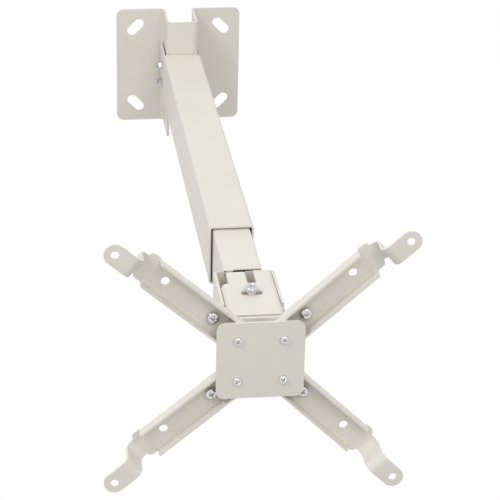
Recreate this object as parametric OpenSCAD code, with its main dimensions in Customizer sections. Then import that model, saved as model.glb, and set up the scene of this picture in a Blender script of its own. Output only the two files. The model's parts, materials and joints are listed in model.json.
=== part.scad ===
// Adjustable ceiling mount for a projector, in millimetres.
// The ceiling face is the plane z = 0, +Z points up and the front of the mount faces -Y.

/* [Ceiling bracket] */
// Width of the ceiling plate
plate_w = 130; // [110:1:160]
// Depth of the ceiling plate
plate_d = 124; // [110:1:150]
// Sheet thickness of the ceiling bracket
bracket_t = 2; // [1.5:0.1:2.6]
// Height of the bracket's channel below the ceiling
channel_h = 46; // [44:1:52]
// Inner bend radius of the bracket
bracket_bend = 3; // [2:0.5:4]
// Corner radius of the ceiling plate
plate_corner = 7.5; // [3:0.5:10]
// Sideways distance between the ceiling slots
slot_pitch_x = 90; // [84:1:100]
// Fore and aft distance between the ceiling slots
slot_pitch_y = 85; // [78:1:96]
// End to end length of a ceiling slot
slot_len = 20.6; // [14:0.1:24]
// Width of a ceiling slot
slot_w = 10.4; // [8:0.1:11]

/* [Pole] */
// Width of the outer pole
pole_w = 38; // [33:0.5:42]
// Depth of the outer pole
pole_d = 54; // [48:0.5:58]
// Wall of both poles
pole_t = 1.5; // [1:0.1:2]
// Distance from the ceiling to the lower end of the outer pole
pole_drop = 468; // [380:1:600]
// Gap between the pole's side walls and the bracket's cheeks
spacer_w = 1.5; // [1:0.1:2]
// Play between the two poles on each side
pole_play = 1.5; // [1:0.1:2]
// Length of the inner pole
inner_len = 325; // [280:1:360]
// Length of the inner pole that shows
inner_shown = 77; // [60:1:120]
// Corner radius of the outer pole
pole_corner = 3; // [2.5:0.5:4]

/* [Head] */
// Outer width of the head yoke
yoke_w = 50; // [48:0.5:56]
// Fore and aft depth of the head yoke
yoke_d = 48; // [46:1:52]
// Sheet thickness of the head's folded parts
head_t = 2.5; // [2:0.1:2.8]
// Height of the pitch axis below the yoke's top
pitch_drop = 55; // [52:1:60]
// Height of the roll axis below the pitch axis
roll_drop = 22; // [21:0.5:25]
// Length of the roll slot
roll_slot = 17; // [15:0.5:19]
// Thickness of the nylon swivel washer
spacer_t = 4.5; // [4:0.5:8]

/* [Clamp plates] */
// Width of the square plate under the arms
square_w = 69; // [62:1:80]
// Depth of the square plate under the arms
square_d = 66; // [60:1:80]
// Corner radius of the square plate
square_corner = 7; // [4:0.5:10]
// Thickness of the square plate
square_t = 2; // [1.5:0.1:3]
// Thickness of the upper clamp plate
clamp_t = 2.5; // [2:0.1:4]
// Sideways distance between the arm pivots
pivot_pitch_x = 36; // [34:1:40]
// Fore and aft distance between the arm pivots
pivot_pitch_y = 35; // [33:1:40]

/* [Arms] */
// Outer width of an arm's channel
arm_w = 25; // [20:0.5:27]
// Outer height of an arm's channel
arm_h = 12; // [9:0.5:15]
// Sheet thickness of an arm
arm_t = 1.8; // [1.2:0.1:2.2]
// Distance from an arm's pivot to the end of its side walls
arm_wall_end = 88; // [84:1:110]
// Distance from an arm's pivot to the end of its wide floor
arm_floor_end = 97; // [95:1:120]
// Distance from an arm's pivot to its first screw
arm_hole_near = 24.5; // [22:0.5:30]
// Distance from an arm's pivot to its spare hole
arm_hole_far = 73; // [60:0.5:80]
// Distance from an arm's pivot to the hole in its foot
foot_reach = 125.5; // [116:0.5:150]
// Drop from the arm's floor to its foot
foot_drop = 23; // [15:0.5:30]
// Width of an arm's foot
foot_w = 17; // [12:0.5:18]
// Diameter of the hole in an arm's foot
foot_hole = 6.5; // [5:0.5:8]
// Diameter of the spare hole in an arm
spare_hole = 7; // [5:0.5:8]
// Angle of the front left arm from the sideways axis
angle_front_left = 41; // [20:0.5:65]
// Angle of the front right arm from the sideways axis
angle_front_right = 42.5; // [20:0.5:65]
// Angle of the rear left arm from the sideways axis
angle_rear_left = 40; // [20:0.5:65]
// Angle of the rear right arm from the sideways axis
angle_rear_right = 44.5; // [20:0.5:65]

/* [Screws] */
// Diameter of the bracket, pitch and roll bolts
bolt_d = 5; // [4:0.5:6]
// Diameter of the screw in the roll slot
slot_screw_d = 6; // [5:0.5:6]
// Diameter of the arm screws
arm_screw_d = 5; // [4:0.5:5]
// Diameter of the corner and strap screws
screw_d = 4; // [3.5:0.5:4.5]
// Diameter of the swivel bolt
swivel_d = 8; // [6:0.5:8]

/* [Hidden] */
$fn = 48;
ivory = [0.87, 0.86, 0.81];
zinc = [0.75, 0.76, 0.78];
nylon = [0.15, 0.15, 0.16];
cut = 1;
// Running clearance between a bolt and its hole
run = 0.05;
cheek_out = pole_w / 2 - pole_t - spacer_w;
cheek_in = cheek_out - bracket_t;
// How far the bracket's front web reaches over the pole's front wall, and the gap between them
web_lap = 0.5;
web_gap = 0.3;
web_end = web_lap - pole_d / 2;
// Depth that the cheeks gain behind the pole
heel = 8;
// Places of the pivot and the lock bolt, and the pole's swing on the bracket
bolt_z = -25;
pivot_y = -8;
lock_y = 10;
swing_back = 0;
swing_front = 15;
pole_top = -4.5;
inner_w = pole_w - 2 * pole_t - 2 * pole_play;
inner_d = pole_d - 2 * pole_t - 2 * pole_play;
yoke_top = -pole_drop - inner_shown;
inner_top = yoke_top + inner_len;
collar_h = 16;
extension_z = 22 - pole_drop;
// Head
pitch_z = yoke_top - pitch_drop;
slot_z = pitch_z + 5;
roll_z = pitch_z - roll_drop;
yoke_in = yoke_w / 2 - head_t;
washer_t = 0.5;
head_bend = 2.5;
frame_half = yoke_in - washer_t;
frame_front = -yoke_d / 2 - 4;
frame_back = yoke_d / 2 - 2;
strap_t = 2.5;
cradle_gap = 0.2;
cradle_front = frame_front + head_t + cradle_gap;
cradle_rear = frame_back - head_t - strap_t - cradle_gap;
cradle_half = 12;
cradle_floor_half = 14;
cradle_floor = roll_z - 9.5;
lug_top = slot_z + 9;
// Clamp stack, from the top down
clamp_top = cradle_floor - spacer_t;
link_t = 2.5;
link_top = clamp_top - clamp_t;
floor_top = link_top - link_t;
square_top = floor_top - arm_h;
square_bottom = square_top - square_t;
clamp_w = square_w - 9;
clamp_d = square_d - 9;
// Arms
foot_z = -foot_drop - arm_t;
neck_bend = 6;
arm_collar = 1.5;
foot_len = foot_reach + foot_w / 2;
link_w = 20;
// Fasteners: head and nut sizes follow the thread
function hex_r(d) = 0.95 * d;
function nut_h(d) = 0.8 * d;
function head_h(d) = 0.66 * d;

module rounded(w, d, r) {
    square([w - 2 * r, d], center = true);
    square([w, d - 2 * r], center = true);
    for (sx = [-1, 1], sy = [-1, 1])
        translate([sx * (w / 2 - r), sy * (d / 2 - r)]) circle(r);
}

module slot2d(len, w) {
    square([len - w, w], center = true);
    for (s = [-1, 1]) translate([s * (len - w) / 2, 0]) circle(w / 2);
}

module wedge(r, a) {
    polygon([[0, 0], [r, 0], [r, r * tan(a / 2)], [r * cos(a), r * sin(a)]]);
}

module ring(r_in, r_out, a) {
    intersection() {
        difference() { circle(r_out); circle(r_in); }
        rotate(a == 90 ? 0 : -0.02) wedge(2 * r_out, a == 90 ? a : a + 0.04);
    }
}

// A sheet's edge drawn as flats and bends. Each step is [flat length, bend angle after it],
// and a positive angle folds to the left of the way ahead. The line runs along the sheet's right side.
module fold(steps, t, r, i = 0) {
    if (i < len(steps)) {
        flat = steps[i][0];
        a = steps[i][1];
        square([flat, t]);
        translate([flat, 0])
            if (a > 0) {
                translate([0, t + r]) rotate(-90) ring(r, r + t, a);
                translate([(r + t) * sin(a), (r + t) * (1 - cos(a))]) rotate(a) fold(steps, t, r, i + 1);
            } else if (a < 0) {
                translate([0, -r]) rotate(90 + a) ring(r, r + t, -a);
                translate([r * sin(-a), -r * (1 - cos(a))]) rotate(a) fold(steps, t, r, i + 1);
            } else fold(steps, t, r, i + 1);
    }
}

// Turns a profile in X and Z into a solid that runs along Y from y0 to y1
module along_y(y0, y1) {
    translate([0, y1, 0]) rotate([90, 0, 0]) linear_extrude(y1 - y0) children();
}

// Turns a profile in Y and Z into a solid that runs along X from x0 to x1
module along_x(x0, x1) {
    translate([x0, 0, 0]) rotate([90, 0, 90]) linear_extrude(x1 - x0) children();
}

module tube(w, d, t, r, len) {
    linear_extrude(len) difference() {
        rounded(w, d, r);
        rounded(w - 2 * t, d - 2 * t, r - t);
    }
}

module hex_head(d, h) { cylinder(r = hex_r(d), h = h, $fn = 6); }

// Hexagon bolt along +Z: its head lies below z = 0 and its shank above
module hex_bolt(d, len) {
    translate([0, 0, -head_h(d)]) hex_head(d, head_h(d));
    cylinder(d = d, h = len);
}

module hex_nut(d) {
    difference() {
        hex_head(d, nut_h(d));
        translate([0, 0, -cut]) cylinder(d = d, h = nut_h(d) + 2 * cut);
    }
}

module washer(r, bore, h) {
    difference() {
        cylinder(r = r, h = h);
        translate([0, 0, -cut]) cylinder(r = bore, h = h + 2 * cut);
    }
}

// Domed pan head along -Z from z = 0, with a cross recess, and a shank along +Z
module pan_screw(d, len, head = 0.98) {
    pan_r = head * d;
    pan_h = 0.65 * d;
    dome = 0.45 * pan_h;
    difference() {
        rotate_extrude() {
            translate([0, dome - pan_h]) square([pan_r, pan_h - dome]);
            intersection() {
                translate([0, -pan_h]) square([pan_r, dome]);
                translate([0, pan_r * 1.35 - pan_h]) circle(pan_r * 1.35);
            }
        }
        translate([0, 0, -pan_h - cut]) linear_extrude(0.6 * pan_h + cut) {
            square([0.95 * d, 0.2 * d], center = true);
            square([0.2 * d, 0.95 * d], center = true);
        }
    }
    cylinder(d = d, h = len);
}

// Half a hat section on each side: flange, bend, cheek and, with a web, the bend into it
module hat_profile(web) {
    wing = plate_w / 2 - cheek_out - bracket_bend;
    drop = channel_h - 2 * (bracket_bend + bracket_t);
    for (s = [0, 1]) mirror([s, 0]) {
        translate([plate_w / 2, 0]) rotate(180) fold([[wing, 90], [web ? drop : drop + 20, 0]], bracket_t, bracket_bend);
        if (web) translate([cheek_out - bracket_t - bracket_bend, -channel_h]) {
            rotate(-90) translate([-bracket_t - bracket_bend, 0]) ring(bracket_bend, bracket_bend + bracket_t, 90);
            translate([bracket_t + bracket_bend - cheek_out, 0]) square([cheek_out - bracket_t - bracket_bend, bracket_t]);
        }
    }
}

module ceiling_slots() {
    for (sx = [-1, 1], sy = [-1, 1])
        translate([sx * slot_pitch_x / 2, sy * slot_pitch_y / 2, -bracket_t - cut])
            rotate(-45 * sx * sy) linear_extrude(bracket_t + 2 * cut) slot2d(slot_len, slot_w);
}

// One folded sheet: two ceiling flanges, two cheeks and the web that joins them in front of the pole
module ceiling_bracket() color(ivory) {
    web_corner = 3;
    difference() {
        union() {
            intersection() {
                along_y(-plate_d / 2, web_end) hat_profile(true);
                linear_extrude(3 * channel_h, center = true) {
                    translate([-plate_w, -plate_d / 2]) square([2 * plate_w, plate_d / 2 + web_end - web_corner]);
                    translate([0, web_end - plate_d / 4]) rounded(2 * cheek_out, plate_d / 2, web_corner);
                }
            }
            intersection() {
                along_y(-plate_d / 2, plate_d / 2) hat_profile(false);
                along_x(-plate_w, plate_w) cheek_side();
            }
        }
        ceiling_slots();
        translate([0, 0, -bracket_t - cut]) plate_corners();
        along_x(-plate_w, plate_w) translate([pivot_y, bolt_z]) circle(d = bolt_d + 2 * run);
        along_x(-plate_w, plate_w) translate([pivot_y, bolt_z]) lock_arc();
    }
}

// Cuts the plate's four corners round
module plate_corners() {
    linear_extrude(bracket_t + 2 * cut) difference() {
        square([plate_w + 2, plate_d + 2], center = true);
        rounded(plate_w, plate_d, plate_corner);
    }
}

// Side outline of the flanges and cheeks: level along the web, deeper and rounded behind the pole
module cheek_side() {
    r = 5;
    back = plate_d / 2;
    heel_start = pole_d / 2 + 6;
    fold_h = bracket_t + bracket_bend;
    translate([-back, -channel_h + fold_h]) square([2 * back, channel_h - fold_h]);
    translate([web_end - 3, -channel_h]) square([back - web_end + 3 - r, channel_h]);
    translate([heel_start, -channel_h - heel + r]) square([back - heel_start, channel_h]);
    translate([heel_start + r, -channel_h - heel]) square([back - heel_start - 2 * r, channel_h]);
    for (y = [heel_start + r, back - r]) translate([y, -channel_h - heel + r]) circle(r);
}

// Arc slot for the lock bolt, struck from the pivot
module lock_arc() {
    r = lock_y - pivot_y;
    half = bolt_d / 2 + run;
    from = -swing_back - 1;
    to = swing_front + 1;
    for (a = [from, to]) rotate(a) translate([r, 0]) circle(half);
    rotate(from) ring(r - half, r + half, to - from);
}

// Rectangular tube whose top is slotted to straddle the bracket's channel
module outer_pole() color(ivory) {
    gap = pole_w - 2 * pole_t;
    difference() {
        translate([0, 0, -pole_drop]) tube(pole_w, pole_d, pole_t, pole_corner, pole_drop + pole_top);
        // Front and back walls are cut away, the back one further down for the swing
        translate([-gap / 2, -pole_d / 2 - cut, -channel_h - web_gap]) cube([gap, pole_d / 2, channel_h + web_gap]);
        translate([-gap / 2, 0, -channel_h - 26]) cube([gap, pole_d / 2 + cut, channel_h + 26]);
        // The side walls slope down behind the pivot
        along_x(-pole_w, pole_w) polygon([[0, pole_top], [pole_d, pole_top - 0.3 * pole_d],
            [pole_d, 0], [0, 0]]);
        for (y = [pivot_y, lock_y]) along_x(-pole_w, pole_w) translate([y, bolt_z]) circle(d = bolt_d + 2 * run);
        translate([0, pole_d / 2 + cut, extension_z]) rotate([90, 0, 0])
            cylinder(d = bolt_d + 2 * run, h = pole_t + 2 * cut);
    }
}

// Bolts run from the pole's right side through both cheeks, with spacers between cheek and pole
module bracket_bolt(y)
    translate([pole_w / 2, y, bolt_z]) rotate([0, -90, 0]) hex_bolt(bolt_d, pole_w + nut_h(bolt_d) + 4);
module pole_pivot_bolt() color(zinc) bracket_bolt(pivot_y);
module pole_lock_bolt() color(zinc) bracket_bolt(lock_y);
module bracket_spacers() color(nylon) for (y = [pivot_y, lock_y], s = [0, 1]) mirror([s, 0, 0])
    translate([cheek_out, y, bolt_z]) rotate([0, 90, 0]) washer(6, bolt_d / 2 + run, spacer_w);
module bracket_nuts() color(zinc) for (y = [pivot_y, lock_y])
    translate([-pole_w / 2, y, bolt_z]) rotate([0, -90, 0]) hex_nut(bolt_d);

module extension_nut() color(zinc) translate([0, pole_d / 2, extension_z]) rotate([-90, 0, 0]) hex_nut(bolt_d);
module extension_screw() color(zinc) {
    reach = nut_h(bolt_d) + 6;
    translate([0, pole_d / 2 + reach, extension_z]) rotate([90, 0, 0])
        hex_bolt(bolt_d, reach + pole_t + pole_play - 0.3);
}

// The inner pole's front wall stops short of the yoke that its other walls stand on
module inner_pole() color(ivory) difference() {
    translate([0, 0, yoke_top]) tube(inner_w, inner_d, pole_t, pole_corner - 1, inner_len);
    translate([-inner_w / 4, -inner_d / 2 - cut, yoke_top - cut]) cube([inner_w, pole_t + 2 * cut, 2 + cut]);
}

// Nylon sleeve round the top of the inner pole
module guide_collar() color(nylon) {
    slide = 0.1;
    translate([0, 0, inner_top - collar_h]) linear_extrude(collar_h) difference() {
        rounded(pole_w - 2 * pole_t - 2 * slide, pole_d - 2 * pole_t - 2 * slide, pole_corner - pole_t);
        rounded(inner_w, inner_d, pole_corner - 1);
    }
}

// One folded sheet: a top plate under the pole, two cheeks and a stop tab in front
module head_yoke() color(ivory) {
    cheek_r = 20;
    tab_w = 15.5;
    tab_x = -15;
    tab_len = 20.5;
    relief = 0.8;
    arch = yoke_w / 2 - head_t - head_bend;
    tab_root = head_bend + head_t - yoke_d / 2;
    difference() {
        union() {
            difference() {
                intersection() {
                    along_y(-yoke_d / 2, yoke_d / 2) for (s = [0, 1]) mirror([s, 0])
                        translate([0, yoke_top]) mirror([0, 1])
                            fold([[arch, 90], [pitch_drop + cheek_r, 0]], head_t, head_bend);
                    along_x(-yoke_w, yoke_w) yoke_side(cheek_r);
                }
                translate([tab_x - relief, -yoke_d / 2 - cut, yoke_top - head_t - cut])
                    cube([tab_w + 2 * relief, head_bend + head_t + cut, head_t + 2 * cut]);
            }
            translate([tab_x, 0, 0]) along_x(0, tab_w) translate([tab_root + head_bend, yoke_top])
                rotate(180) fold([[head_bend, 90], [tab_len, 0]], head_t, head_bend);
        }
        along_x(-yoke_w, yoke_w) translate([0, pitch_z]) circle(d = bolt_d + 2 * run);
    }
}
// Side outline of the yoke: round at the top front and about the pitch axis
module yoke_side(cheek_r) {
    r = 3.5;
    half = yoke_d / 2;
    translate([-half, pitch_z]) square([2 * half, pitch_drop - r]);
    translate([r - half, pitch_z]) square([2 * half - r, pitch_drop]);
    translate([r - half, yoke_top - r]) circle(r);
    translate([-cheek_r, pitch_z - 10]) square([2 * cheek_r, 10]);
    translate([-half, pitch_z - 6]) square([2 * half, 6]);
    translate([0, pitch_z]) circle(cheek_r);
}

// The pitch bolts go in from outside, through the yoke, a washer and the tilt frame
module pitch_bolts() color(zinc) for (s = [-1, 1])
    translate([s * yoke_w / 2, 0, pitch_z]) rotate([0, -90 * s, 0])
        hex_bolt(bolt_d, 2 * head_t + washer_t + nut_h(bolt_d) + 1);
module pitch_washers() color(nylon) for (s = [-1, 1])
    translate([s * yoke_in, 0, pitch_z]) rotate([0, -90 * s, 0]) washer(8, bolt_d / 2 + run, washer_t);
module pitch_nuts() color(zinc) for (s = [-1, 1])
    translate([s * (frame_half - head_t), 0, pitch_z]) rotate([0, -90 * s, 0]) hex_nut(bolt_d);

// One folded sheet: front plate with the roll slot, two sides and two rear lips
module tilt_frame() color(ivory) {
    top = yoke_top - 10;
    low_top = top - 22;
    bottom = clamp_top + 4;
    side_bottom = clamp_top + nut_h(screw_d) + 0.5 + roll_room;
    lip = 7;
    side = frame_back - frame_front - 2 * (head_t + head_bend);
    half = frame_half - head_t - head_bend;
    difference() {
        translate([0, 0, bottom]) linear_extrude(top - bottom) for (s = [0, 1]) mirror([s, 0])
            translate([0, frame_front]) fold([[half, 90], [side, 90], [lip, 0]], head_t, head_bend);
        // Front outline: low on the left under the yoke's tab and tall on the right
        along_y(frame_front - cut, frame_front + head_t + head_bend) {
            translate([-frame_half - cut, low_top]) square([frame_half + 6.5 + cut, top - low_top + cut]);
            translate([0.4, slot_z]) slot2d(roll_slot, slot_screw_d + 0.9);
        }
        // The sides are low behind the front plate, and rounded
        along_x(-yoke_w, yoke_w) difference() {
            translate([frame_front + head_t + head_bend, pitch_z]) square([yoke_d + 20, pitch_drop]);
            translate([frame_front, pitch_z - cut]) square([frame_back - frame_front - 8, 13 + cut]);
            translate([frame_front, pitch_z - cut]) square([frame_back - frame_front + 1, 5 + cut]);
            translate([frame_back - 8, pitch_z + 5]) circle(8);
        }
        // Sides and lips stop above the corner nuts, which rise as the head rolls
        along_x(-yoke_w, yoke_w) translate([frame_front + head_t + head_bend, bottom - cut])
            square([yoke_d + 20, side_bottom - bottom + cut]);
        along_x(-yoke_w, yoke_w) translate([0, pitch_z]) circle(d = bolt_d + 2 * run);
        for (s = [-1, 1]) translate([s * strap_screw_x, frame_back + cut, strap_z]) rotate([90, 0, 0])
            cylinder(d = screw_d + 2 * run, h = head_t + 2 * cut);
    }
}
roll_room = 3.5;
strap_screw_x = frame_half - head_t - head_bend - 3.5;
strap_z = roll_z + 12;

module rear_strap() color(ivory) difference() {
    along_y(frame_back - head_t - strap_t, frame_back - head_t)
        translate([0, roll_z + 8]) rounded(2 * (frame_half - head_t - head_bend), 24, 4);
    for (s = [-1, 1]) translate([s * strap_screw_x, frame_back, strap_z]) rotate([90, 0, 0])
        cylinder(d = screw_d + 2 * run, h = 3 * strap_t);
    translate([0, frame_back, roll_z]) rotate([90, 0, 0]) cylinder(d = bolt_d + 2 * run, h = 3 * strap_t);
}
module strap_screws() color(zinc) for (s = [-1, 1])
    translate([s * strap_screw_x, frame_back, strap_z]) rotate([90, 0, 0])
        pan_screw(screw_d, strap_t + head_t);
module roll_bolt() color(zinc)
    translate([0, frame_back - head_t, roll_z]) rotate([90, 0, 0])
        hex_bolt(bolt_d, strap_t + cradle_gap + head_t + nut_h(bolt_d) + 1);
module roll_nut() color(zinc)
    translate([0, cradle_rear - head_t, roll_z]) rotate([90, 0, 0]) hex_nut(bolt_d);

// One folded sheet, seen from the side: front lug, floor and rear lug
module roll_cradle() color(ivory) {
    front_h = lug_top - cradle_floor - head_t - head_bend;
    rear_h = roll_z + 10 - cradle_floor - head_t - head_bend;
    floor_len = cradle_rear - cradle_front - 2 * (head_t + head_bend);
    difference() {
        intersection() {
            along_x(-cradle_floor_half, cradle_floor_half)
                translate([cradle_front, lug_top]) rotate(-90)
                    fold([[front_h, 90], [floor_len, 90], [rear_h, 0]], head_t, head_bend);
            union() {
                along_y(cradle_front - cut, 0) cradle_face(lug_top);
                along_y(0, cradle_rear + cut) cradle_face(roll_z + 10);
                translate([-cradle_floor_half, cradle_front + head_t + head_bend, cradle_floor - cut])
                    cube([2 * cradle_floor_half, floor_len, head_t + 2 * cut]);
            }
        }
        translate([0, cradle_front - cut, slot_z]) rotate([-90, 0, 0])
            cylinder(d = slot_screw_d + 2 * run, h = head_t + 2 * cut);
        translate([0, cradle_rear + cut, roll_z]) rotate([90, 0, 0])
            cylinder(d = bolt_d + 2 * run, h = head_t + 2 * cut);
        translate([0, 0, cradle_floor - cut]) cylinder(d = swivel_d + 2 * run, h = head_t + 2 * cut);
    }
}
// Outline of a lug from the front, round at its top corners
module cradle_face(top) {
    translate([-cradle_half, cradle_floor - cut]) square([2 * cradle_half, top - cradle_floor - 4 + cut]);
    translate([4 - cradle_half, cradle_floor - cut]) square([2 * cradle_half - 8, top - cradle_floor + cut]);
    for (s = [-1, 1]) translate([s * (cradle_half - 4), top - 4]) circle(4);
}

slot_washer_t = 3;
module slot_washer() color(zinc)
    translate([0, frame_front - slot_washer_t, slot_z]) rotate([-90, 0, 0])
        washer(4.7, slot_screw_d / 2 + run, slot_washer_t);
module slot_screw() color(zinc)
    translate([0, frame_front - slot_washer_t, slot_z]) rotate([-90, 0, 0])
        pan_screw(slot_screw_d, slot_washer_t + 2 * head_t + cradle_gap + nut_h(slot_screw_d) + 1);
module slot_nut() color(zinc)
    translate([0, cradle_front + head_t, slot_z]) rotate([-90, 0, 0]) hex_nut(slot_screw_d);

module swivel_bolt() color(zinc)
    translate([0, 0, cradle_floor + head_t]) rotate([180, 0, 0])
        hex_bolt(swivel_d, head_t + spacer_t + clamp_t + washer_t + nut_h(swivel_d) + 1);
module swivel_spacer() color(nylon)
    translate([0, 0, clamp_top]) washer(12, swivel_d / 2 + run, spacer_t);
module swivel_washer() color(zinc)
    translate([0, 0, link_top - washer_t]) washer(8.5, swivel_d / 2 + run, washer_t);
module swivel_nut() color(zinc)
    translate([0, 0, link_top - washer_t]) rotate([180, 0, 0]) hex_nut(swivel_d);

module at_pivots() for (sx = [-1, 1], sy = [-1, 1])
    translate([sx * pivot_pitch_x / 2, sy * pivot_pitch_y / 2, 0]) children();

module upper_clamp_plate() color(ivory) translate([0, 0, link_top]) linear_extrude(clamp_t) difference() {
    rounded(clamp_w, clamp_d, square_corner + 1);
    circle(d = swivel_d + 2 * run);
    at_pivots2d() circle(d = screw_d + 2 * run);
}
module at_pivots2d() for (sx = [-1, 1], sy = [-1, 1])
    translate([sx * pivot_pitch_x / 2, sy * pivot_pitch_y / 2]) children();
module square_plate() color(ivory) translate([0, 0, square_bottom]) linear_extrude(square_t) difference() {
    rounded(square_w, square_d, square_corner);
    at_pivots2d() circle(d = screw_d + 2 * run);
}
module corner_screws() color(zinc) at_pivots()
    translate([0, 0, square_bottom]) pan_screw(screw_d, clamp_top - square_bottom + nut_h(screw_d) + 0.5, 0.89);
module corner_nuts() color(zinc) at_pivots() translate([0, 0, clamp_top]) hex_nut(screw_d);

// Arms are drawn along +X from their pivot, with z = 0 at the top of the floor
module arm_shape() {
    wall_start = -4;
    neck_start = arm_floor_end + 0.5;
    bend_a = 90;
    difference() {
        union() {
            intersection() {
                translate([wall_start, 0, 0]) along_x(0, arm_wall_end - wall_start)
                    for (s = [0, 1]) mirror([s, 0]) mirror([0, 1])
                        fold([[arm_w / 2 - arm_t - arm_bend, 90], [arm_h - arm_t - arm_bend, 0]], arm_t, arm_bend);
                along_y(-arm_w, arm_w) arm_side(wall_start);
            }
            translate([0, 0, -arm_t]) linear_extrude(arm_t) arm_floor();
            foot_strip(neck_start, bend_a);
        }
        translate([0, 0, -arm_t - cut]) cylinder(d = screw_d + 2 * run, h = arm_t + 2 * cut);
        translate([arm_hole_near, 0, -arm_t - cut]) cylinder(d = arm_screw_d + 2 * run, h = arm_t + 2 * cut);
        translate([arm_hole_far, 0, -arm_t - cut]) cylinder(d = spare_hole, h = arm_t + 2 * cut);
        translate([foot_reach, 0, foot_z - cut]) cylinder(d = foot_hole, h = arm_t + 2 * cut);
    }
}
arm_bend = 2;

// Side walls are rounded at the pivot and cut square, with an eased corner, at the neck
module arm_side(wall_start) {
    r = 4;
    e = 1.2;
    translate([wall_start, -arm_h + r]) square([arm_wall_end - wall_start, arm_h - r]);
    translate([wall_start + r, -arm_h]) square([arm_wall_end - wall_start - r - e, arm_h]);
    translate([wall_start + r, -arm_h + e]) square([arm_wall_end - wall_start - r, arm_h - e]);
    translate([wall_start + r, -arm_h + r]) circle(r);
    translate([arm_wall_end - e, -arm_h + e]) circle(e);
}

// Flat outline of the floor, round at the pivot and with rounded shoulders at the neck
module arm_floor() {
    r = 4;
    flat = arm_w - 2 * (arm_t + arm_bend);
    difference() {
        circle(d = arm_w);
        for (s = [0, 1]) mirror([0, s]) translate([-4, flat / 2]) square([arm_w, arm_w]);
    }
    translate([0, -flat / 2]) square([arm_floor_end - r, flat]);
    translate([arm_wall_end - 0.2, -arm_w / 2]) square([arm_floor_end - arm_wall_end + 0.2 - r, arm_w]);
    for (s = [-1, 1]) translate([arm_floor_end - r, s * (arm_w / 2 - r)]) circle(r);
    translate([arm_floor_end - r, -arm_w / 2 + r]) square([r, arm_w - 2 * r]);
}

// The narrow neck and foot: a strip folded down and level again, with a round end
module foot_strip(start, a) {
    slope = neck_slope(a);
    over = 12;
    foot_flat = foot_len - start - neck_span(a, slope);
    intersection() {
        along_y(-foot_w / 2, foot_w / 2)
            translate([start - over, -arm_t]) fold([[over, -a], [slope, a], [foot_flat, 0]], arm_t, neck_bend);
        translate([0, 0, foot_z - cut]) linear_extrude(foot_drop + arm_t + 2 * cut) {
            translate([start - over, -foot_w / 2]) square([foot_reach - start + over, foot_w]);
            translate([foot_reach, 0]) circle(d = foot_w);
        }
    }
}
// Length of the sloping flat that gives the foot its drop, and the way that the two bends and the flat take
function neck_slope(a) = (foot_drop - (2 * neck_bend + arm_t) * (1 - cos(a))) / sin(a);
function neck_span(a, slope) = (2 * neck_bend + arm_t) * sin(a) + slope * cos(a);

module link_shape() linear_extrude(link_t) difference() {
    translate([arm_hole_near / 2, 0]) slot2d(arm_hole_near + link_w, link_w);
    circle(d = screw_d + 2 * run);
    translate([arm_hole_near, 0]) circle(d = arm_screw_d + 2 * run);
}

// Puts a part drawn along +X from the pivot at one of the four corners
module at_arm(sx, sy, angle, z)
    translate([sx * pivot_pitch_x / 2, sy * pivot_pitch_y / 2, z])
        rotate(sx > 0 ? sy * angle : 180 - sy * angle) children();

module arm(sx, sy, angle) color(ivory) at_arm(sx, sy, angle, floor_top) arm_shape();
module arm_link(sx, sy, angle) color(zinc) at_arm(sx, sy, angle, floor_top) link_shape();
// An arm screw has a captive washer under its head
module arm_screw(sx, sy, angle) color(zinc)
    at_arm(sx, sy, angle, floor_top - arm_t - arm_collar) translate([arm_hole_near, 0, 0]) {
        pan_screw(arm_screw_d, arm_collar + arm_t + link_t + nut_h(arm_screw_d) + 0.8);
        cylinder(r = 0.9 * arm_screw_d, h = arm_collar);
    }
module arm_nut(sx, sy, angle) color(zinc)
    at_arm(sx, sy, angle, link_top) translate([arm_hole_near, 0, 0]) hex_nut(arm_screw_d);

ceiling_bracket();
outer_pole();
pole_pivot_bolt();
pole_lock_bolt();
bracket_spacers();
bracket_nuts();
extension_nut();
extension_screw();
inner_pole();
guide_collar();
head_yoke();
pitch_bolts();
pitch_washers();
pitch_nuts();
tilt_frame();
rear_strap();
strap_screws();
roll_bolt();
roll_nut();
roll_cradle();
slot_screw();
slot_washer();
slot_nut();
swivel_bolt();
swivel_spacer();
swivel_washer();
swivel_nut();
upper_clamp_plate();
square_plate();
corner_screws();
corner_nuts();
arm(-1, -1, angle_front_left);  // arm_front_left
arm(1, -1, angle_front_right);  // arm_front_right
arm(-1, 1, angle_rear_left);  // arm_rear_left
arm(1, 1, angle_rear_right);  // arm_rear_right
arm_link(-1, -1, angle_front_left);  // link_front_left
arm_link(1, -1, angle_front_right);  // link_front_right
arm_link(-1, 1, angle_rear_left);  // link_rear_left
arm_link(1, 1, angle_rear_right);  // link_rear_right
arm_screw(-1, -1, angle_front_left);  // screw_front_left
arm_screw(1, -1, angle_front_right);  // screw_front_right
arm_screw(-1, 1, angle_rear_left);  // screw_rear_left
arm_screw(1, 1, angle_rear_right);  // screw_rear_right
arm_nut(-1, -1, angle_front_left);  // nut_front_left
arm_nut(1, -1, angle_front_right);  // nut_front_right
arm_nut(-1, 1, angle_rear_left);  // nut_rear_left
arm_nut(1, 1, angle_rear_right);  // nut_rear_right
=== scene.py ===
"""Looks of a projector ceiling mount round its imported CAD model. Sizes are in millimetres unless said."""
import json
import math

import bmesh
import bpy
from mathutils import Matrix, Vector


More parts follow.
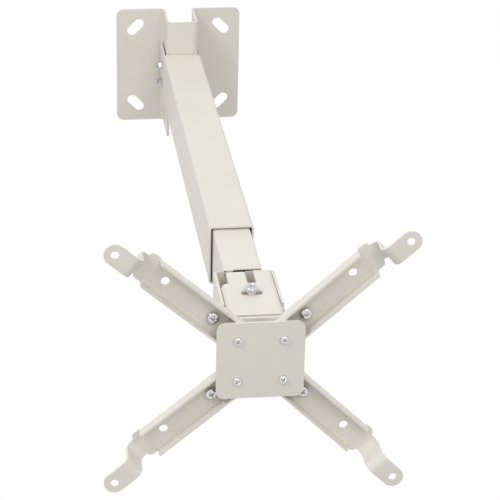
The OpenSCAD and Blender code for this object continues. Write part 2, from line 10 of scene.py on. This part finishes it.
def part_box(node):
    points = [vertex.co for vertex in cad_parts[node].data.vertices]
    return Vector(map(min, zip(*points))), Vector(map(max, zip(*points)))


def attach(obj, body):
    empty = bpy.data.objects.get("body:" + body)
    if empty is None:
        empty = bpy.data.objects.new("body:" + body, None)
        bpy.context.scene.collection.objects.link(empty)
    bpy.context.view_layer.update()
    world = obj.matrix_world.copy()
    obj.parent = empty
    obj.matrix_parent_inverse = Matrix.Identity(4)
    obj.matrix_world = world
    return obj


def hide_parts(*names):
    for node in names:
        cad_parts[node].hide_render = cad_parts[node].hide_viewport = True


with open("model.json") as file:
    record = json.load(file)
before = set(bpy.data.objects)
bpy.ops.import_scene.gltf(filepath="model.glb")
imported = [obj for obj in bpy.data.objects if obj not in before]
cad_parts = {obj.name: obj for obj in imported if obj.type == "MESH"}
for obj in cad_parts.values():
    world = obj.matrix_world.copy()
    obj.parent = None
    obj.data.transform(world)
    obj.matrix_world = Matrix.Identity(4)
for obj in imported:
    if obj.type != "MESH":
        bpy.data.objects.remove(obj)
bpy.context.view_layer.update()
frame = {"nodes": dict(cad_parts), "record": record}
MM = 0.001
RECORD = frame["record"]
SLOT_OF = {p["node"]: p["material_slot"] for p in RECORD["subparts"]}
BODY_OF = {n: body for body, nodes in RECORD["behaviour"]["bodies"].items() for n in nodes}
scene = bpy.context.scene

# Edge rounding of the CAD nodes by material, and the angles from which an edge is rounded or shaded sharp
EDGE = {"ivory_paint": 0.28, "zinc": 0.15, "black_nylon": 0.2}
EDGE_STEPS = 2
ROUNDED = math.radians(40)
SHARP = math.radians(32)

# Vertices of a CAD node that lie closer than this are one
SAME_PLACE = 0.002

# Hexagons: a sixth of a turn, the slope of the chamfer, and the pitch of each bolt by its diameter
SIXTH = math.pi / 3
CHAMFER_RISE = math.tan(math.radians(30))
BOLT_PITCH = {5: 0.8, 8: 1.25}

# Fasteners, as shares of the thread's diameter
HEAD_H = {"bolt": 0.66, "screw": 0.65, "nut": 0.0}
NUT_H = 0.8
HEX_FLAT = 0.95 * math.cos(SIXTH / 2)
HEX_CORNER = 0.935
CHAMFER_FROM = 0.965 * HEX_FLAT
BOLT_THREAD = 3.2
PAN_HEAD_R = 0.98
COLLAR_R = 0.9
SCREW_PITCH = 0.17


# Node trees

class Tree:
    """A node tree. add() makes a node from its type, its settings and the values or links of its sockets."""

    def __init__(self, tree):
        self.tree = tree

    def add(self, kind, settings=None, sockets=None):
        node = self.tree.nodes.new(kind)
        for key, value in (settings or {}).items():
            setattr(node, key, value)
        for key, value in (sockets or {}).items():
            self.feed(node.inputs[key], value)
        return node

    def feed(self, socket, value):
        """Links a socket or sets it. A colour is three numbers."""
        if isinstance(value, V):
            value = value.socket
        if isinstance(value, bpy.types.NodeSocket):
            self.tree.links.new(value, socket)
        elif socket.type == "RGBA":
            socket.default_value = (*value, 1)
        else:
            socket.default_value = value


class V:
    """A value in a tree that takes part in sums, so that a finish reads like its formula."""

    def __init__(self, tree, socket):
        self.tree, self.socket = tree, socket

    def math(self, operation, first, second):
        node = self.tree.add("ShaderNodeMath", {"operation": operation}, {0: first, 1: second})
        return V(self.tree, node.outputs[0])

    def __add__(self, other):
        return self.math("ADD", self, other)

    def __sub__(self, other):
        return self.math("SUBTRACT", self, other)

    def __rsub__(self, other):
        return self.math("SUBTRACT", other, self)

    def __mul__(self, other):
        return self.math("MULTIPLY", self, other)

    __radd__, __rmul__ = __add__, __mul__

    def at_least(self, low):
        return self.math("MAXIMUM", self, low)

    def at_most(self, high):
        return self.math("MINIMUM", self, high)

    def ramp(self, low, high):
        """0 below low, 1 above high and smooth between them"""
        node = self.tree.add("ShaderNodeMapRange", {"interpolation_type": "SMOOTHSTEP"},
                             {"Value": self, "From Min": low, "From Max": high})
        return V(self.tree, node.outputs["Result"])


# Materials

class Finish(Tree):
    """A Principled material whose patterns lie in Object coordinates."""

    # A Mix node's colour sockets go by number, because their names repeat
    LOW, HIGH, RESULT = 6, 7, 2

    def __init__(self, name):
        self.mat = bpy.data.materials.new(name)
        self.mat.use_nodes = True
        super().__init__(self.mat.node_tree)
        self.bsdf = self.tree.nodes["Principled BSDF"]
        self.coord = self.add("ShaderNodeTexCoord").outputs["Object"]

    def noise(self, scale, detail, rough=0.5):
        node = self.add("ShaderNodeTexNoise", {}, {"Vector": self.coord, "Scale": scale, "Detail": detail,
                                                   "Roughness": rough})
        return V(self, node.outputs["Fac"])

    def mix(self, share, low, high):
        """A colour between two others, each three numbers or another mix"""
        node = self.add("ShaderNodeMix", {"data_type": "RGBA"},
                        {"Factor": share, self.LOW: low, self.HIGH: high})
        return node.outputs[self.RESULT]

    def put(self, name, value):
        self.feed(self.bsdf.inputs[name], value)

    def bump(self, height, depth):
        """Relief of a depth in metres"""
        self.put("Normal", self.add("ShaderNodeBump", {}, {"Height": height, "Distance": depth}).outputs[0])


def powder_coat():
    """Warm ivory powder coat: a fine orange peel, faint clouds in the colour and a few specks"""
    f = Finish("ivory_paint")
    peel = f.noise(900, 2.0)
    fine = f.noise(3200, 1.0)
    cloud = f.noise(26, 3.0, 0.55)
    speck = f.noise(1500, 0.0).ramp(0.79, 0.82)
    base = f.mix(cloud.ramp(0.3, 0.7), (0.785, 0.757, 0.683), (0.815, 0.790, 0.720))
    f.put("Base Color", f.mix(0.35 * speck, base, (0.40, 0.37, 0.31)))
    f.put("Roughness", 0.10 * cloud + 0.06 * peel + 0.33)
    f.put("Specular IOR Level", 0.5)
    f.bump(0.8 * peel + 0.2 * fine, 0.00006)
    return f.mat


def zinc_plate():
    """Bright zinc plate: a fine grain, and faint warm and cool patches"""
    f = Finish("zinc")
    patch = f.noise(160, 2.0, 0.6).ramp(0.35, 0.65)
    grain = f.noise(2600, 2.0, 0.6)
    f.put("Base Color", f.mix(patch, (0.71, 0.71, 0.695), (0.61, 0.62, 0.64)))
    f.put("Metallic", 1.0)
    f.put("Roughness", 0.10 * grain + 0.05 * patch + 0.08)
    f.bump(grain, 0.00002)
    return f.mat


def black_nylon():
    """Moulded nylon: dark, with a fine grain"""
    f = Finish("black_nylon")
    grain = f.noise(1400, 3.0, 0.6)
    f.put("Base Color", f.mix(grain, (0.014, 0.014, 0.015), (0.026, 0.026, 0.027)))
    f.put("Roughness", 0.2 * grain + 0.42)
    f.bump(grain, 0.00003)
    return f.mat


FINISH = {"ivory_paint": powder_coat(), "zinc": zinc_plate(), "black_nylon": black_nylon()}


# Geometry nodes

def new_group(name, inputs):
    """A geometry tree with its input node, its inputs' identifiers by name, and one output"""
    group = bpy.data.node_groups.new(name, "GeometryNodeTree")
    sockets = {key: group.interface.new_socket(key, in_out="INPUT", socket_type=kind).identifier
               for key, kind in inputs.items()}
    group.interface.new_socket("Geometry", in_out="OUTPUT", socket_type="NodeSocketGeometry")
    g = Tree(group)
    return g, g.add("NodeGroupInput").outputs, sockets


def smooth_by_angle():
    """Shades faces smooth and keeps steeper edges sharp"""
    g, given, _ = new_group("smooth_by_angle", {"Geometry": "NodeSocketGeometry"})
    angle = g.add("GeometryNodeInputMeshEdgeAngle").outputs["Unsigned Angle"]
    steeper = g.add("FunctionNodeCompare", {"operation": "GREATER_THAN"}, {0: angle, 1: SHARP})
    faces = g.add("GeometryNodeSetShadeSmooth", {}, {"Geometry": given["Geometry"]})
    edges = g.add("GeometryNodeSetShadeSmooth", {"domain": "EDGE"},
                  {"Geometry": faces.outputs[0], "Selection": steeper.outputs[0], "Shade Smooth": False})
    g.add("NodeGroupOutput", {}, {0: edges.outputs[0]})
    return g.tree


def set_out_fasteners():
    """Puts a fastener on each point, turned as the point's own "turn" says"""
    g, given, sockets = new_group("set_out_fasteners", {"Points": "NodeSocketGeometry",
                                                        "Fastener": "NodeSocketObject",
                                                        "Finish": "NodeSocketMaterial"})
    turn = g.add("GeometryNodeInputNamedAttribute", {"data_type": "QUATERNION"}, {"Name": "turn"})
    fastener = g.add("GeometryNodeObjectInfo", {}, {"Object": given["Fastener"], "As Instance": True})
    placed = g.add("GeometryNodeInstanceOnPoints", {},
                   {"Points": given["Points"], "Instance": fastener.outputs["Geometry"],
                    "Rotation": next(s for s in turn.outputs if s.enabled)})
    plain = g.add("GeometryNodeRemoveAttribute", {}, {"Geometry": placed.outputs[0], "Name": "turn"})
    real = g.add("GeometryNodeRealizeInstances", {}, {"Geometry": plain.outputs[0]})
    done = g.add("GeometryNodeSetMaterial", {}, {"Geometry": real.outputs[0], "Material": given["Finish"]})
    g.add("NodeGroupOutput", {}, {0: done.outputs[0]})
    return g.tree, sockets


SMOOTH = smooth_by_angle()
SET_OUT, SET_OUT_INPUT = set_out_fasteners()


# Objects and modifiers

def new_object(name, data):
    obj = bpy.data.objects.new(name, data)
    scene.collection.objects.link(obj)
    return obj


def worked(obj, *tools):
    """The plain mesh that an object's modifiers give. The object and the tools that it used are removed."""
    mesh = bpy.data.meshes.new_from_object(obj.evaluated_get(bpy.context.evaluated_depsgraph_get()))
    for o in (obj, *tools):
        bpy.data.objects.remove(o)
    return mesh


def shade_smooth(obj):
    obj.modifiers.new("smooth", "NODES").node_group = SMOOTH


def round_edges(obj, width):
    m = obj.modifiers.new("edge", "BEVEL")
    m.width, m.segments = width * MM, EDGE_STEPS
    m.limit_method, m.angle_limit = "ANGLE", ROUNDED


def soften(obj, width):
    """Joins a CAD node's split vertices, rounds its edges a little and keeps its flats flat in the shading"""
    obj.modifiers.new("weld", "WELD").merge_threshold = SAME_PLACE * MM
    round_edges(obj, width)
    shade_smooth(obj)
    m = obj.modifiers.new("flat faces", "WEIGHTED_NORMAL")
    m.mode, m.weight, m.keep_sharp = "FACE_AREA", 100, True


def add_piece(mesh, name, material, body, replaces=()):
    """A piece that rides on a body and may take the place of CAD nodes"""
    obj = new_object(name, mesh)
    mesh.materials.clear()
    mesh.materials.append(FINISH[material])
    shade_smooth(obj)
    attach(obj, body)
    if replaces:
        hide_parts(*replaces)


for name, node in frame["nodes"].items():
    node.data.materials.clear()
    node.data.materials.append(FINISH[SLOT_OF[name]])
    soften(node, EDGE[SLOT_OF[name]])


# Forms of rings

def ring(radius, z, n):
    """n points round the axis, or one point where the radius is 0. radius may be a function of the angle,
    and z a function of the radius."""
    if radius == 0:
        return [(0, 0, z)]
    points = []
    for i in range(n):
        a = 2 * math.pi * i / n
        r = radius(a) if callable(radius) else radius
        points.append((r * math.cos(a), r * math.sin(a), z(r) if callable(z) else z))
    return points


def turned(profile, n):
    """Rings of n points for the (radius, z) pairs of a profile"""
    return [ring(radius, z, n) for radius, z in profile]


def loft(bm, rings, hollow=False):
    """Joins rings in turn, and in a hollow form the last one to the first. A ring of one point is a tip."""
    loops = [[bm.verts.new(Vector(p) * MM) for p in points] for points in rings]
    following = loops[1:] + loops[:1] if hollow else loops[1:]
    for a, b in zip(loops, following):
        n = max(len(a), len(b))
        for i in range(n):
            j = (i + 1) % n
            if len(a) == 1:
                bm.faces.new((a[0], b[j], b[i]))
            elif len(b) == 1:
                bm.faces.new((a[i], a[j], b[0]))
            else:
                bm.faces.new((a[i], a[j], b[j], b[i]))
    return loops


def capped_loft(bm, rings):
    loops = loft(bm, rings)
    bm.faces.new(loops[0])
    bm.faces.new(loops[-1])


def to_mesh(bm, name):
    """A mesh whose faces point outwards"""
    bmesh.ops.recalc_face_normals(bm, faces=bm.faces)
    mesh = bpy.data.meshes.new(name)
    bm.to_mesh(mesh)
    bm.free()
    return mesh


# Bolts and nuts

def hexagon(d):
    """Outline radius by angle of a hexagon for a thread of diameter d, with eased corners"""
    return lambda a: d * min(HEX_FLAT / math.cos(a % SIXTH - SIXTH / 2), HEX_CORNER)


def chamfer(d):
    """How far a hexagon's end falls back at a radius"""
    return lambda r: CHAMFER_RISE * max(0.0, r - CHAMFER_FROM * d)


def thread_rings(d, start, end, pitch, n=48, steps_a_turn=8, depth=0.54, tip=0.7, taper=0.6):
    """Rings of a screw thread, its groove as deep as a share of the pitch, that tapers at its free end"""
    length = end - start
    steps = max(2, int(length / pitch * steps_a_turn))
    tapered = tip if length > 1 else 0
    rings = []
    for k in range(steps + 1):
        along = length * k / steps
        inset = taper * max(0.0, along - length + tapered)
        points = []
        for i in range(n):
            a = 2 * math.pi * i / n
            phase = (along / pitch - i / n) % 1.0
            groove = depth * pitch * (1 - abs(2 * phase - 1)) ** 0.8
            r = d / 2 + 0.01 - groove - inset
            points.append((r * math.cos(a), r * math.sin(a), start + along))
        rings.append(points)
    return rings


def shank(bm, d, seat, plain_end, thread_start, length, pitch):
    """Plain shank and thread, closed at both ends"""
    plain = turned([(0, seat), (d / 2, seat), (d / 2, plain_end)], 48)
    loft(bm, plain + thread_rings(d, thread_start, length, pitch) + [[(0, 0, length)]])


def bolt_mesh(d, length):
    """Hexagon bolt: its head lies below z = 0, its shank above and its last part is threaded"""
    bm = bmesh.new()
    h, flat, back = HEAD_H["bolt"] * d, CHAMFER_FROM * d, chamfer(d)
    dish = 0.02
    loft(bm, turned([(0, 0), (flat, 0), (hexagon(d), 0), (hexagon(d), lambda r: back(r) - h), (flat, -h),
                     (0.93 * flat, dish - h), (0, dish - h)], 72))
    plain = length - min(length - 0.5, BOLT_THREAD * d)
    shank(bm, d, 0, plain, plain, length, BOLT_PITCH[d])
    return to_mesh(bm, "bolt")


def nut_mesh(d):
    """Nut from z = 0 up, chamfered on both sides, with a countersunk bore"""
    bm = bmesh.new()
    h, flat, back = NUT_H * d, CHAMFER_FROM * d, chamfer(d)
    bore, sink = d / 2, d / 20
    loft(bm, turned([(bore, sink), (bore + sink, 0), (flat, 0), (hexagon(d), back),
                     (hexagon(d), lambda r: h - back(r)), (flat, h), (bore + sink, h), (bore, h - sink)], 72),
         hollow=True)
    return to_mesh(bm, "nut")


# Pan-head screws

def pan_dome(d, head):
    """Head below z = 0: a short rim and a rounded top"""
    bm = bmesh.new()
    r, h, steps = head * d, HEAD_H["screw"] * d, 8
    rim = [(0, 0), (0.97 * r, 0), (r, -0.10 * h), (r, -0.42 * h)]
    quarter = [k / steps * math.pi / 2 for k in range(1, steps + 1)]
    dome = [(r * (0.42 + 0.58 * math.cos(a) ** 0.8), -h * (0.42 + 0.53 * math.sin(a))) for a in quarter]
    loft(bm, turned(rim + dome + [(0.2 * r, -0.992 * h), (0, -h)], 64))
    return to_mesh(bm, "pan")


def cross_recess(d):
    """Cutter for the recess: four wings that narrow with depth, and a round middle"""
    bm = bmesh.new()
    h = HEAD_H["screw"] * d
    depths = ((-1.2 * h, 0.55 * d, 0.115 * d), (-h, 0.52 * d, 0.11 * d), (-0.14 * h, 0.22 * d, 0.07 * d))
    for turn in (0, math.pi / 2):
        c, s = math.cos(turn), math.sin(turn)
        capped_loft(bm, [[(x * c - y * s, x * s + y * c, z) for x, y in
                          ((-reach, -wide), (reach, -wide), (reach, wide), (-reach, wide))]
                         for z, reach, wide in depths])
    capped_loft(bm, turned([(0.28 * d, -1.2 * h), (0.26 * d, -h), (0.15 * d, -0.10 * h)], 32))
    return to_mesh(bm, "recess")


def cut_out(mesh, cutter):
    """The mesh less the cutter, with its edges eased"""
    obj, tool = new_object(mesh.name, mesh), new_object(cutter.name, cutter)
    m = obj.modifiers.new("cut", "BOOLEAN")
    m.operation, m.solver, m.object, m.use_self = "DIFFERENCE", "EXACT", tool, True
    round_edges(obj, 0.06)
    return worked(obj, tool)


def screw_mesh(d, length, head, collar):
    """Cross-recessed pan-head screw: its head lies below z = 0 and its shank above, with a captive washer
    where collar gives its thickness"""
    mesh = cut_out(pan_dome(d, head), cross_recess(d))
    bm = bmesh.new()
    bm.from_mesh(mesh)
    shank(bm, d, 0.02, collar + 0.2, collar + 0.25, length, SCREW_PITCH * d)
    if collar:
        r, ease = COLLAR_R * d, 0.15
        loft(bm, turned([(0, 0.01), (r - ease, 0.01), (r, ease), (r, collar - ease), (r - ease, collar),
                         (0, collar)], 64))
    bm.to_mesh(mesh)
    bm.free()
    return mesh


# Placing the fasteners

def solids(node):
    """Lowest and highest corner of each separate solid of a CAD node, sorted by place"""
    bm = bmesh.new()
    bm.from_mesh(frame["nodes"][node].data)
    bmesh.ops.remove_doubles(bm, verts=bm.verts, dist=SAME_PLACE * MM)
    left, boxes = set(bm.verts), []
    while left:
        stack, group = [left.pop()], []
        while stack:
            v = stack.pop()
            group.append(v.co / MM)
            near = {e.other_vert(v) for e in v.link_edges} & left
            left -= near
            stack.extend(near)
        boxes.append([Vector(f(c[k] for c in group) for k in range(3)) for f in (min, max)])
    bm.free()
    return sorted(boxes, key=lambda box: [round(x) for x in box[0]])


def facing(way, seat):
    """Matrix that takes +Z to a direction and the origin to a point"""
    turn = Vector((0, 0, 1)).rotation_difference(Vector(way))
    return Matrix.Translation(Vector(seat) * MM) @ turn.to_matrix().to_4x4()


def set_out(mesh, places, material):
    """One mesh that repeats a fastener at every place"""
    points = bpy.data.meshes.new("places")
    points.from_pydata([m.translation for m in places], [], [])
    turns = points.attributes.new("turn", "QUATERNION", "POINT")
    turns.data.foreach_set("value", [c for m in places for c in m.to_quaternion()])
    obj, fastener = new_object("places", points), new_object("fastener", mesh)
    m = obj.modifiers.new("set out", "NODES")
    m.node_group = SET_OUT
    m[SET_OUT_INPUT["Fastener"]] = fastener
    m[SET_OUT_INPUT["Finish"]] = FINISH[material]
    return worked(obj, fastener)


def dress(node, kind, d, way, spin, head=PAN_HEAD_R, collar=0.0, further=1.7):
    """Puts a detailed bolt, screw or nut over each plain one of a CAD node. way points from the head to the
    free end, or is a function of the place. Each takes its length and seat from the solid's own box, and is
    turned further about its axis than the one before."""
    head_h = HEAD_H[kind] * d
    places = []
    for i, (low, high) in enumerate(solids(node)):
        seat = (low + high) / 2
        axis = Vector(way(seat) if callable(way) else way)
        k = max(range(3), key=lambda j: abs(axis[j]))
        seat[k] = (low if axis[k] > 0 else high)[k] + math.copysign(head_h, axis[k])
        length = high[k] - low[k] - head_h
        places.append(facing(axis, seat) @ Matrix.Rotation(spin * (1 + further * i), 4, "Z"))
    if kind == "nut":
        mesh = nut_mesh(d)
    elif kind == "bolt":
        mesh = bolt_mesh(d, length)
    else:
        mesh = screw_mesh(d, length, head, collar)
    add_piece(set_out(mesh, places, "zinc"), node + "_look", "zinc", BODY_OF[node], [node])


def inward(place):
    return -math.copysign(1, place.x), 0, 0


LEFT, FORWARD, BACK, DOWN, UP = (-1, 0, 0), (0, -1, 0), (0, 1, 0), (0, 0, -1), (0, 0, 1)
FASTENERS = (("pole_pivot_bolt", "bolt", 5, LEFT, SIXTH),
             ("pole_lock_bolt", "bolt", 5, LEFT, SIXTH),
             ("bracket_nuts", "nut", 5, LEFT, SIXTH),
             ("pitch_bolts", "bolt", 5, inward, SIXTH),
             ("pitch_nuts", "nut", 5, inward, SIXTH),
             ("roll_bolt", "bolt", 5, FORWARD, SIXTH),
             ("roll_nut", "nut", 5, FORWARD, SIXTH),
             ("extension_screw", "bolt", 5, FORWARD, SIXTH),
             ("extension_nut", "nut", 5, BACK, SIXTH),
             ("swivel_bolt", "bolt", 8, DOWN, SIXTH),
             ("swivel_nut", "nut", 8, DOWN, SIXTH),
             ("slot_screw", "screw", 6, BACK, 0.5),
             ("slot_nut", "nut", 6, BACK, SIXTH),
             ("strap_screws", "screw", 4, FORWARD, 0.3))
for row in FASTENERS:
    dress(*row)
dress("corner_screws", "screw", 4, UP, 0.35, head=0.89)
dress("corner_nuts", "nut", 4, UP, 0.2)
for i, corner in enumerate(("front_left", "front_right", "rear_left", "rear_right")):
    dress("screw_" + corner, "screw", 5, UP, 0.4 + 1.1 * i, collar=1.5)
    dress("nut_" + corner, "nut", 5, UP, 0.3 * i)


# Welds

def weld_bead(side, radius=1.9, short=3, sunk=0.3, under=0.2, steps=150, ripples=20, fade=7, quarter=6):
    """Rippled bead in the corner between the inner pole's side and the yoke under it, painted over. It stops
    short of the pole's corners, and lies sunk into the wall and under the seat."""
    low, high = (Vector(v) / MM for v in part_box("inner_pole"))
    wall, seat, reach = high.x, low.z, high.y - short
    rings = []
    for i in range(steps + 1):
        y = reach * (2 * i / steps - 1)
        end = min(1.0, (i + 1) / fade, (steps + 1 - i) / fade) ** 0.5
        # Even ripples, and slower ones that differ from side to side
        ripple = 0.09 * math.sin(2 * math.pi * ripples * i / steps) + 0.05 * math.sin(i * 0.37 + side)
        r = radius * end * (1 + ripple)
        profile = [(wall - sunk, seat - under), (wall + r, seat - under)]
        for k in range(quarter + 1):
            a = k / quarter * math.pi / 2
            sag = 0.175 * math.sin(2 * a)
            profile.append((wall + r * (math.cos(a) - sag), seat + r * (math.sin(a) - sag)))
        profile.append((wall - sunk, seat + r))
        rings.append([(side * x, y, z) for x, z in profile])
    bm = bmesh.new()
    capped_loft(bm, rings)
    return to_mesh(bm, "weld bead")


for side, where in ((-1, "left"), (1, "right")):
    add_piece(weld_bead(side), "yoke_weld_" + where, "ivory_paint", "extension")


# Light and camera

def studio_world():
    """White to the camera and in metal, and softer to the paint, with more light from the front"""
    world = bpy.data.worlds.new("studio")
    world.use_nodes = True
    w = Tree(world.node_tree)
    w.tree.nodes.clear()
    way = w.add("ShaderNodeSeparateXYZ", {}, {0: w.add("ShaderNodeTexCoord").outputs["Generated"]})
    x, y, z = (V(w, way.outputs[k]) for k in "XYZ")
    strength = (0.74 - 0.34 * y - 0.06 * x - 0.04 * z).at_least(0.25)
    path = w.add("ShaderNodeLightPath")
    camera, metal, glass = (V(w, path.outputs["Is %s Ray" % k]) for k in ("Camera", "Glossy", "Transmission"))
    white = w.add("ShaderNodeBackground", {}, {"Color": (1, 1, 1), "Strength": 1.0})
    soft = w.add("ShaderNodeBackground", {}, {"Color": (0.8, 0.8, 0.8), "Strength": strength})
    mix = w.add("ShaderNodeMixShader", {}, {0: (camera + metal + glass).at_most(1.0), 1: soft.outputs[0],
                                            2: white.outputs[0]})
    w.add("ShaderNodeOutputWorld", {}, {"Surface": mix.outputs[0]})
    return world


def disk_lamp(name, at, size, power, target=(0, 0, -0.4)):
    """Round lamp at a point in metres that faces the middle of the mount"""
    light = bpy.data.lights.new(name, "AREA")
    light.shape, light.size, light.energy = "DISK", size, power
    turn = (Vector(target) - Vector(at)).to_track_quat("-Z", "Y")
    new_object(name, light).matrix_world = Matrix.Translation(at) @ turn.to_matrix().to_4x4()


def photo_camera():
    """Camera in front of the mount and far below it, at the place in metres that was fitted to the photo"""
    data = bpy.data.cameras.new("camera")
    data.lens, data.sensor_width, data.clip_end = 144, 36, 20
    obj = new_object("camera", data)
    obj.matrix_world = Matrix(((0.99122, 0.03602, -0.12722, -0.20178),
                               (-0.02301, -0.90048, -0.43428, -0.74804),
                               (-0.1302, 0.4334, -0.89175, -1.9956),
                               (0, 0, 0, 1)))
    return obj


scene.world = studio_world()
disk_lamp("key", (-1.4, -1.9, -1.3), size=0.6, power=12)
disk_lamp("fill", (0.3, -1.2, -1.8), size=0.8, power=4.5)
scene.camera = photo_camera()
scene.view_settings.view_transform = "Standard"
